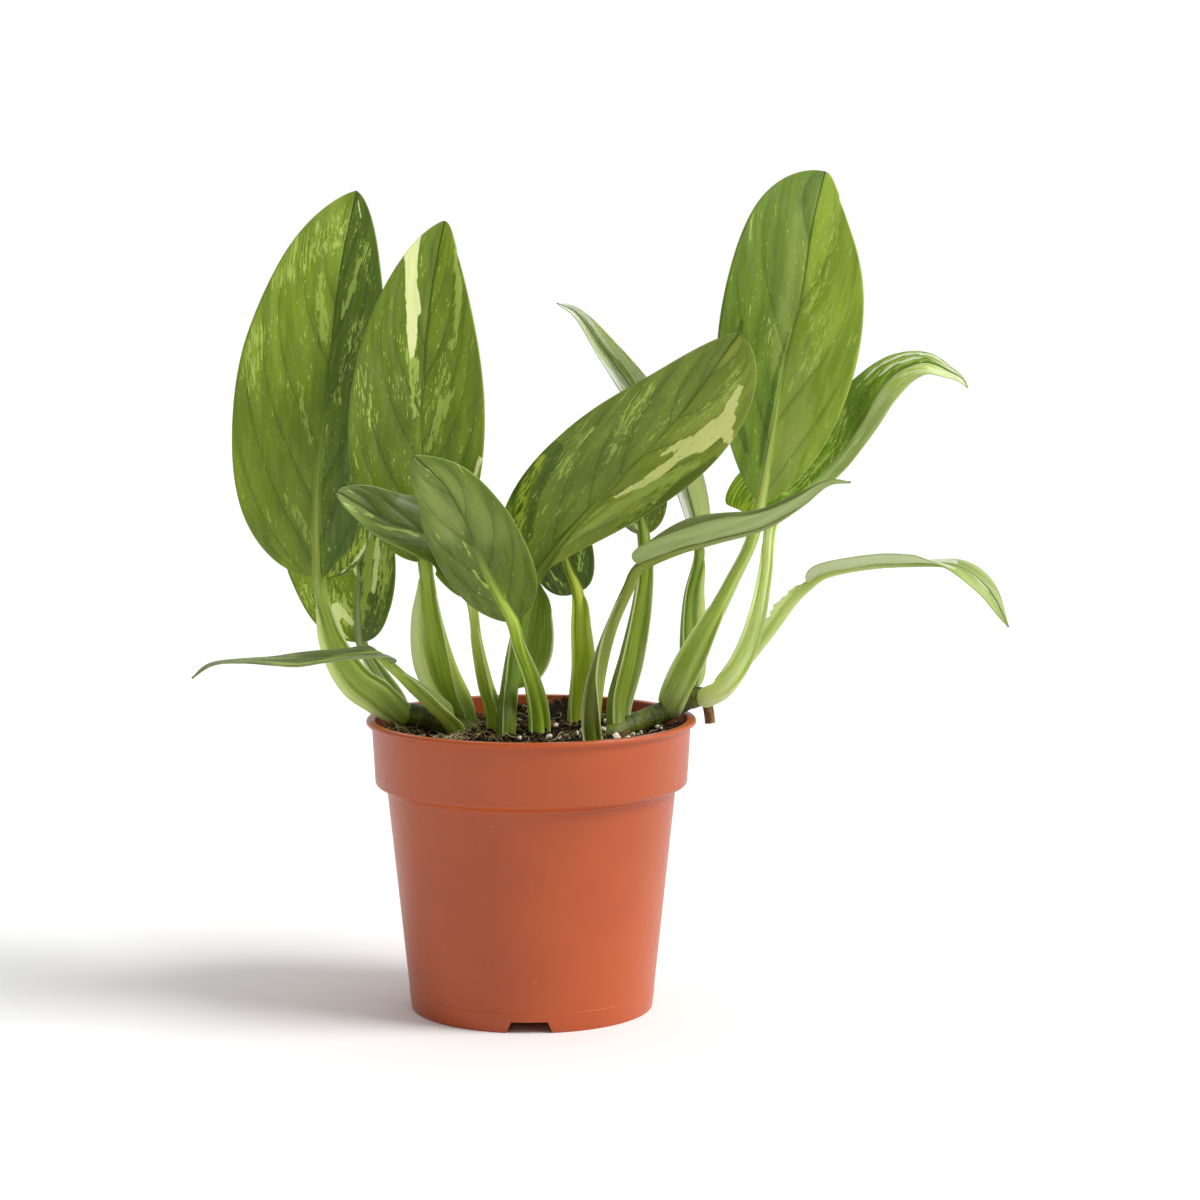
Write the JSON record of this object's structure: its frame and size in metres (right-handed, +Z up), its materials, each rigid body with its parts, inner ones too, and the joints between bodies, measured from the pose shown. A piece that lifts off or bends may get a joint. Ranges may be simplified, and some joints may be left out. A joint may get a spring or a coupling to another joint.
{
  "type": "potted variegated monstera standleyana",
  "caption": "Variegated aroid with narrow pointed blades on winged petioles, rising from creeping stems in the soil of a tapered nursery pot.",
  "frame": {"origin": "middle of the pot's base, on the surface that the pot stands on", "axes": "+Z up, along the pot's axis and the part's greatest extent; +X to the viewer's right and +Y away from the viewer, as the picture shows the plant"},
  "size_m": [0.2889, 0.12, 0.3046],
  "materials": {
    "pot": "satin",
    "soil": "matte",
    "stem": "satin",
    "petiole": "satin",
    "blade": "satin"
  },
  "bodies": {
    "root": {"pot": "pot", "soil": "soil", "stem_left": "stem", "stem_mid": "stem", "stem_right": "stem", "petiole_left_tall": "petiole", "petiole_left_inner": "petiole", "petiole_mid_small": "petiole", "petiole_mid_front": "petiole", "petiole_mid_long": "petiole", "petiole_mid_back": "petiole", "petiole_right_arched": "petiole", "petiole_right_tall": "petiole", "petiole_right_front": "petiole", "petiole_right_curved": "petiole", "petiole_right_low": "petiole", "petiole_left_low": "petiole", "petiole_left_back": "petiole", "petiole_right_back": "petiole", "blade_left_tall": "blade", "blade_left_inner": "blade", "blade_mid_small": "blade", "blade_mid_front": "blade", "blade_mid_long": "blade", "blade_mid_back": "blade", "blade_right_arched": "blade", "blade_right_tall": "blade", "blade_right_front": "blade", "blade_right_curved": "blade", "blade_right_low": "blade", "blade_left_low": "blade", "blade_left_back": "blade", "blade_right_back": "blade"}
  },
  "joints": []
}
